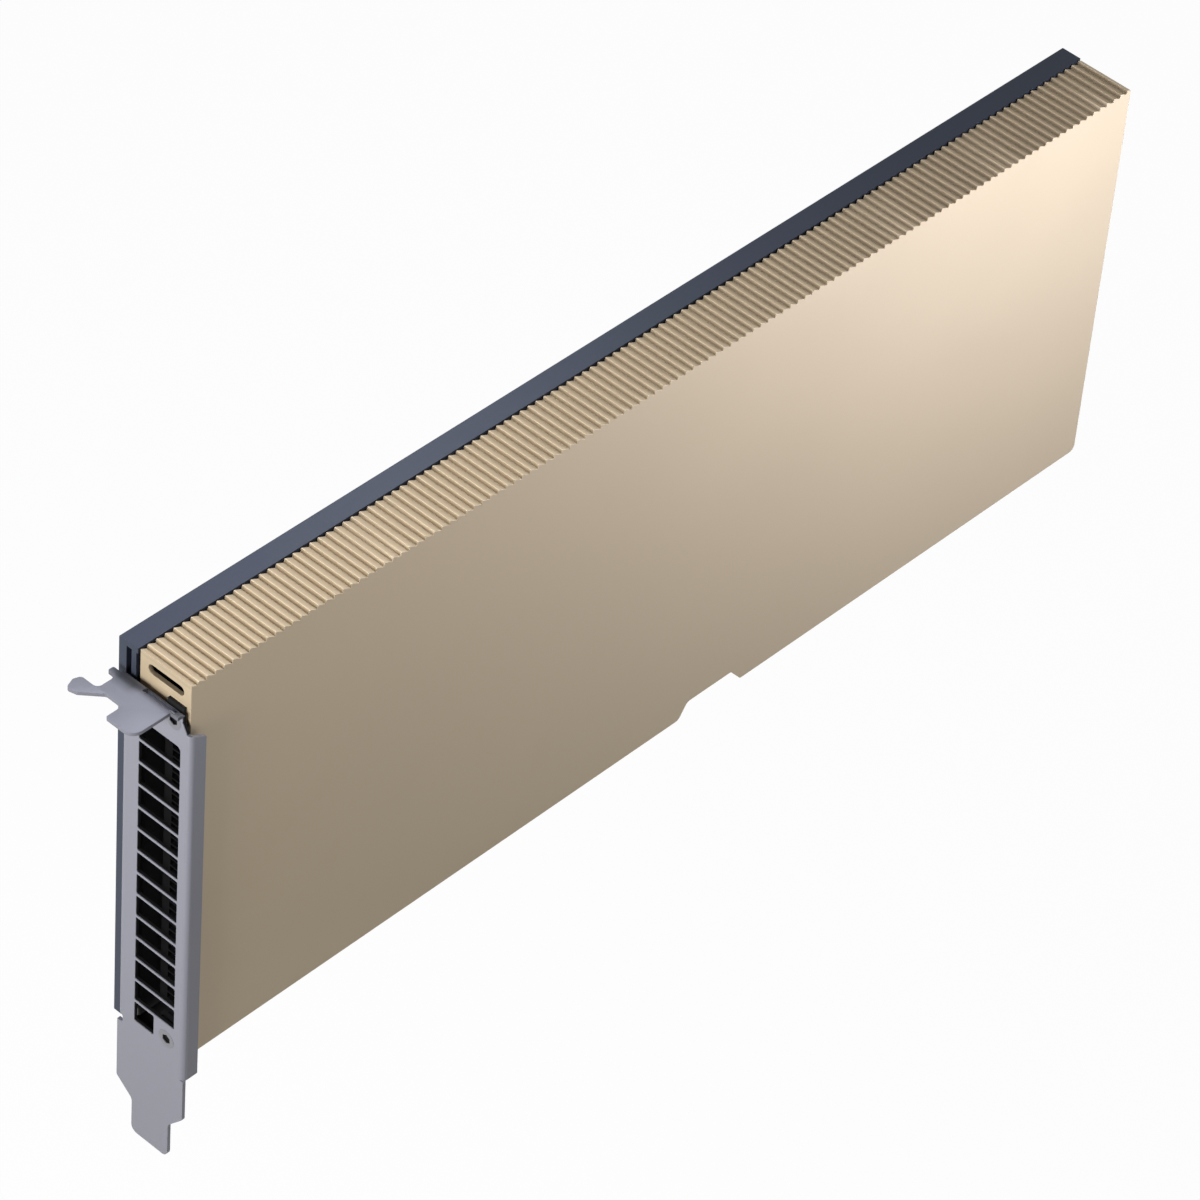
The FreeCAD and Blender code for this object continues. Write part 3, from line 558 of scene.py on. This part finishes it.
# In each row: slot, colour, metallic, roughness, grain, its size and depth, spread, marks and tracks.
FINISHES = (
    Finish(
        "cover_gold", (0.50, 0.40, 0.268), 0.3, 0.5, Grain.BLASTED, 0.18, 0.006, 0.03, 0.04,
        painted_shades=INNER_SHADES + GROOVE_SHADES,
    ),
    Finish("dark_plate", (0.042, 0.050, 0.072), 0.1, 0.36, Grain.BLASTED, 0.18, 0.005, 0.05, 0.06, specular=0.1),
    Finish(
        "bracket_steel", (0.232, 0.234, 0.270), 0.15, 0.38, Grain.BRUSHED, 0.15, 0.003, 0.04, 0.05,
        specular=0.25, painted_shades=VENT_SHADES + TAB_SHADES,
    ),
    Finish(
        "screw_steel", (0.22, 0.22, 0.24), 0.5, 0.35, Grain.SMOOTH, 0.1, 0.002, 0.05, 0.05,
        painted_shades=SCREW_SHADES,
    ),
    Finish("screw_black", (0.03, 0.03, 0.034), 0.7, 0.35, Grain.SMOOTH, 0.1, 0.002, 0.08, 0.05),
    Finish(
        "board", (0.018, 0.03, 0.022), 0.0, 0.35, Grain.LAMINATE, 0.4, 0.006, 0.06, 0.0, (0.028, 0.05, 0.034),
        painted_shades=INNER_SHADES + BOARD_SHADES,
    ),
    Finish("contact_gold", (0.83, 0.58, 0.22), 1.0, 0.22, Grain.SMOOTH, 0.1, 0.001, 0.05, 0.08),
    Finish("sink_black", (0.006, 0.006, 0.0065), 0.0, 0.6, Grain.BLASTED, 0.12, 0.003, 0.05, 0.05, specular=0.05),
    Finish("copper", (0.80, 0.42, 0.27), 1.0, 0.3, Grain.BRUSHED, 0.12, 0.002, 0.06, 0.1),
    Finish("paste", (0.5, 0.5, 0.51), 0.0, 0.7, Grain.MOULDED, 0.5, 0.02, 0.1),
    Finish("substrate", (0.03, 0.10, 0.05), 0.0, 0.4, Grain.LAMINATE, 0.3, 0.004, 0.06),
    Finish("silicon", (0.30, 0.31, 0.35), 0.9, 0.12, Grain.SMOOTH, 0.1, 0.0005, 0.03),
    Finish("frame_metal", (0.58, 0.58, 0.57), 0.95, 0.32, Grain.BRUSHED, 0.12, 0.002, 0.05),
    Finish("chip_black", (0.022, 0.022, 0.025), 0.0, 0.48, Grain.MOULDED, 0.08, 0.006, 0.08),
    Finish("thermal_pad", (0.40, 0.47, 0.55), 0.0, 0.75, Grain.MOULDED, 0.3, 0.03, 0.08),
    Finish("choke_grey", (0.13, 0.13, 0.14), 0.2, 0.55, Grain.MOULDED, 0.1, 0.01, 0.1),
    Finish("capacitor_body", (0.05, 0.05, 0.055), 0.0, 0.45, Grain.MOULDED, 0.1, 0.004, 0.08),
    Finish("crystal_can", (0.60, 0.60, 0.60), 1.0, 0.28, Grain.SMOOTH, 0.1, 0.001, 0.05),
    Finish("ceramic_tan", (0.36, 0.26, 0.15), 0.0, 0.4, Grain.MOULDED, 0.1, 0.003, 0.1),
    Finish("socket_black", (0.018, 0.018, 0.02), 0.0, 0.42, Grain.MOULDED, 0.12, 0.006, 0.08, 0.06),
    Finish("pin_tin", (0.62, 0.62, 0.61), 1.0, 0.3, Grain.SMOOTH, 0.1, 0.001, 0.08),
    Finish("film_black", (0.03, 0.03, 0.033), 0.0, 0.5, Grain.MOULDED, 0.3, 0.004, 0.05),
    Finish("brass", (0.72, 0.54, 0.25), 1.0, 0.3, Grain.BRUSHED, 0.1, 0.002, 0.06, 0.06),
)


@dataclass
class Palette:
    """Every finish's material by its slot.

    Attributes:
        effects: The shared shader effects.
        materials: The materials, by slot.
    """

    effects: Effects
    materials: dict[str, bpy.types.Material] = field(default_factory=dict)

    def __post_init__(self) -> None:
        """Makes each finish's material once."""
        for finish in FINISHES:
            self.materials[finish.name] = finish.material(self.effects)

    def dress(self, piece: bpy.types.Object, slot: str) -> None:
        """Gives a piece the material of a slot.

        Args:
            piece: The piece or CAD node.
            slot: The record's material slot.
        """
        if not piece.material_slots:
            piece.data.materials.append(self.materials[slot])
        for place in piece.material_slots:
            place.material = self.materials[slot]


# ---------------------------------------------------------------- pieces


# A copied mesh: how near its points merge, how flat its faces join and how sharp an edge is eased.
MERGE_DISTANCE = 2e-6
FLAT_TURN = math.radians(0.4)
SHARP_TURN = math.radians(25)
EASED_FACES = 2


def node_slots() -> dict[str, str]:
    """The material slot of each CAD node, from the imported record."""
    return {part["node"]: part["material_slot"] for part in frame["record"]["subparts"]}


def eased_copy(node: str, name: str, width: float) -> bpy.types.Object:
    """A copy of a CAD node whose sharp edges are eased by a small rounding.

    The copy's loose triangles are merged, flat neighbours are joined, and a Bevel modifier rounds each edge that
    turns by more than the sharp turn.

    Args:
        node: The CAD node that the copy stands for.
        name: The new piece's name.
        width: Width of the rounding in metres.

    Returns:
        The new piece, which replaces the node.
    """
    mesh = frame["nodes"][node].data.copy()
    mesh.name = name
    mesh.materials.clear()
    form = bmesh.new()
    form.from_mesh(mesh)
    bmesh.ops.remove_doubles(form, verts=form.verts, dist=MERGE_DISTANCE)
    bmesh.ops.dissolve_limit(form, angle_limit=FLAT_TURN, verts=form.verts, edges=form.edges)
    form.to_mesh(mesh)
    form.free()
    piece = bpy.data.objects.new(name, mesh)
    bpy.context.scene.collection.objects.link(piece)
    bevel = piece.modifiers.new("eased edges", "BEVEL")
    bevel.width = width
    bevel.segments = EASED_FACES
    bevel.limit_method = "ANGLE"
    bevel.angle_limit = SHARP_TURN
    bevel.use_clamp_overlap = True
    bevel.harden_normals = False
    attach(piece, "root")
    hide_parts(node)
    return piece


@dataclass
class Shells:
    """The outer shells: gold cover, dark backplate and folded bracket.

    Attributes:
        cover_edge: Rounding of the cover's edges.
        plate_edge: Rounding of the backplate's edges.
        sheet_edge: Rounding of the bracket's cut edges.
    """

    cover_edge: float = 0.10 * MM
    plate_edge: float = 0.15 * MM
    sheet_edge: float = 0.08 * MM

    def build(self, palette: Palette) -> list[str]:
        """Makes and dresses the shells.

        Args:
            palette: The finishes.

        Returns:
            The names of the new pieces.
        """
        slots = node_slots()
        made = []
        for node, name, edge in (
            ("cooler_cover", "cover_shell", self.cover_edge),
            ("backplate", "back_shell", self.plate_edge),
            ("bracket", "slot_bracket", self.sheet_edge),
        ):
            piece = eased_copy(node, name, edge)
            palette.dress(piece, slots[node])
            made.append(name)
        return made


# ---------------------------------------------------------------- stage


@dataclass(frozen=True)
class Viewpoint:
    """The photograph's viewpoint.

    Attributes:
        position: The camera's place.
        azimuth: Turn about the upright, in degrees.
        elevation: Height above the level, in degrees.
        roll: Turn about the line of sight, in degrees.
        focal_pixels: Focal length in pixels of the photograph.
        image_pixels: Side of the photograph in pixels.
        sensor: Width of the camera's sensor in millimetres.
        nearest: Distance from which the camera sees.
        furthest: Distance to which it sees.
    """

    position: Point = (-0.591574, -0.562205, 0.833643)
    azimuth: float = -49.8143
    elevation: float = 42.2595
    roll: float = 5.0887
    focal_pixels: float = 5823.62
    image_pixels: float = 1200.0
    sensor: float = 36.0
    nearest: float = 0.05
    furthest: float = 20.0

    def axes(self) -> tuple[Vector, Vector, Vector]:
        """The camera's own directions.

        Forward follows from azimuth and elevation, and the roll turns right and up about it.

        Returns:
            Right, up and backward.
        """
        a, e, r = (math.radians(v) for v in (self.azimuth, self.elevation, self.roll))
        forward = Vector((-math.sin(a) * math.cos(e), math.cos(a) * math.cos(e), -math.sin(e)))
        level = forward.cross(Vector((0, 0, 1))).normalized()
        upright = level.cross(forward)
        right = level * math.cos(r) + upright * math.sin(r)
        up = upright * math.cos(r) - level * math.sin(r)
        return right, up, -forward

    def build(self) -> None:
        """Makes the camera and makes it the scene's own."""
        data = bpy.data.cameras.new("photo_camera")
        data.sensor_width = self.sensor
        data.lens = self.focal_pixels / self.image_pixels * self.sensor
        data.clip_start, data.clip_end = self.nearest, self.furthest
        camera = bpy.data.objects.new("photo_camera", data)
        bpy.context.scene.collection.objects.link(camera)
        turn = Matrix(self.axes()).transposed().to_4x4()
        camera.matrix_world = Matrix.Translation(self.position) @ turn
        bpy.context.scene.camera = camera


@dataclass(frozen=True)
class Softbox:
    """A square lamp that faces a point.

    Attributes:
        name: The lamp's name.
        place: Its middle.
        target: The point that it faces.
        side: Its side.
        watts: Its power.
        tint: Its colour, near white.
    """

    name: str
    place: Point
    target: Point
    side: float
    watts: float
    tint: Colour = (1.0, 1.0, 1.0)

    def build(self) -> None:
        """Makes the lamp."""
        data = bpy.data.lights.new(self.name, "AREA")
        data.shape = "SQUARE"
        data.size = self.side
        data.energy = self.watts
        data.color = self.tint
        lamp = bpy.data.objects.new(self.name, data)
        bpy.context.scene.collection.objects.link(lamp)
        lamp.location = self.place
        lamp.rotation_mode = "QUATERNION"
        lamp.rotation_quaternion = (Vector(self.target) - Vector(self.place)).to_track_quat("-Z", "Y")


def seen_directly(tree: Tree) -> Socket:
    """A value that is 1 for rays that show a background: camera, glossy and transmission rays.

    Args:
        tree: The tree that gets the nodes.

    Returns:
        The value's socket.
    """
    path = tree.nodes.new("ShaderNodeLightPath")
    seen = path.outputs["Is Camera Ray"]
    for name in ("Is Glossy Ray", "Is Transmission Ray"):
        seen = joined(tree, MATH, "MAXIMUM", seen, path.outputs[name])
    return seen


@dataclass
class Stage:
    """Plain pale floor, white surroundings, soft lamps and the camera.

    Attributes:
        floor_drop: Floor below the card's lowest point.
        floor_side: Side of the floor.
        floor_colour: The floor's own colour.
        floor_roughness: The floor's roughness.
        floor_share: How much of the floor's white doesn't come from the lamps.
        ambient: Strength of the surroundings' light on the card.
        viewpoint: The camera.
        lamps: The soft lamps: name, place, target, side, watts and tint.
    """

    floor_drop: float = 0.12
    floor_side: float = 6.0
    floor_colour: Colour = (0.85, 0.85, 0.85)
    floor_roughness: float = 0.9
    floor_share: float = 0.97
    ambient: float = 0.02
    viewpoint: Viewpoint = field(default_factory=Viewpoint)
    lamps: tuple[Softbox, ...] = (
        Softbox("far_front_lamp", (0.203, -0.221, 0.103), (0.295, -0.05, 0.30), 0.10, 1.23, (0.93, 0.98, 1.19)),
        Softbox("far_top_lamp", (0.21, -0.16, 0.17), (0.19, -0.015, 0.10), 0.10, 0.08),
        Softbox("near_top_lamp", (-0.015, 0.05, 0.30), (0.0, 0.0, 0.11), 0.12, 0.24, (0.92, 0.98, 1.14)),
        Softbox("ridge_lamp", (0.074, -0.061, 0.364), (-0.399, -0.055, 0.199), 0.12, 0.65),
        Softbox("near_end_lamp", (-0.33, -0.02, 0.15), (-0.057, 0.0, 0.06), 0.15, 1.20),
        Softbox("strip_lamp", (0.245, 0.215, 0.413), (-0.05, 0.0, 0.11), 0.08, 0.30),
    )

    def build(self) -> None:
        """Makes everything round the card."""
        self.build_world()
        self.build_floor()
        for lamp in self.lamps:
            lamp.build()
        self.viewpoint.build()
        bpy.context.scene.view_settings.view_transform = "Standard"

    def build_world(self) -> None:
        """The surroundings: white where they are seen, and a plain even light on the card."""
        world = bpy.data.worlds.new("surroundings")
        bpy.context.scene.world = world
        world.use_nodes = True
        tree = world.node_tree
        light = tree.nodes["Background"]
        light.inputs["Strength"].default_value = self.ambient
        light.inputs["Color"].default_value = WHITE
        white = tree.nodes.new("ShaderNodeBackground")
        white.inputs["Color"].default_value = WHITE
        white.inputs["Strength"].default_value = 1.0
        mix = tree.nodes.new("ShaderNodeMixShader")
        tree.links.new(seen_directly(tree), mix.inputs["Fac"])
        tree.links.new(light.outputs["Background"], mix.inputs[1])
        tree.links.new(white.outputs["Background"], mix.inputs[2])
        tree.links.new(mix.outputs["Shader"], tree.nodes["World Output"].inputs["Surface"])

    def build_floor(self) -> None:
        """A pale floor that stays white where it is seen and still takes a soft shadow."""
        half = self.floor_side / 2
        level = CAD_BOX[0].z - self.floor_drop
        corners = np.array([(-half, -half, level), (half, -half, level), (half, half, level), (-half, half, level)])
        mesh = bpy.data.meshes.new("floor")
        mesh.from_pydata(corners.tolist(), [], [(0, 1, 2, 3)])
        floor = bpy.data.objects.new("floor", mesh)
        bpy.context.scene.collection.objects.link(floor)
        material = bpy.data.materials.new("floor_white")
        material.use_nodes = True
        tree = material.node_tree
        shader = tree.nodes["Principled BSDF"]
        shader.inputs["Base Color"].default_value = (*self.floor_colour, 1.0)
        shader.inputs["Roughness"].default_value = self.floor_roughness
        white = tree.nodes.new("ShaderNodeEmission")
        share = tree.nodes.new(MATH)
        share.operation = "MULTIPLY"
        share.inputs[1].default_value = self.floor_share
        mix = tree.nodes.new("ShaderNodeMixShader")
        tree.links.new(seen_directly(tree), share.inputs[0])
        tree.links.new(share.outputs["Value"], mix.inputs["Fac"])
        tree.links.new(shader.outputs["BSDF"], mix.inputs[1])
        tree.links.new(white.outputs["Emission"], mix.inputs[2])
        tree.links.new(mix.outputs["Shader"], tree.nodes["Material Output"].inputs["Surface"])
        mesh.materials.append(material)


def main() -> None:
    """Builds the looks in order and reports each piece."""
    logging.basicConfig(level=logging.INFO, format="%(name)s: %(message)s")
    palette = Palette(Effects())
    for node, slot in node_slots().items():
        palette.dress(frame["nodes"][node], slot)
        log.info("%s dressed as %s", node, slot)
    for name in Shells().build(palette):
        log.info("%s built", name)
    Stage().build()


if __name__ == "__main__":
    main()
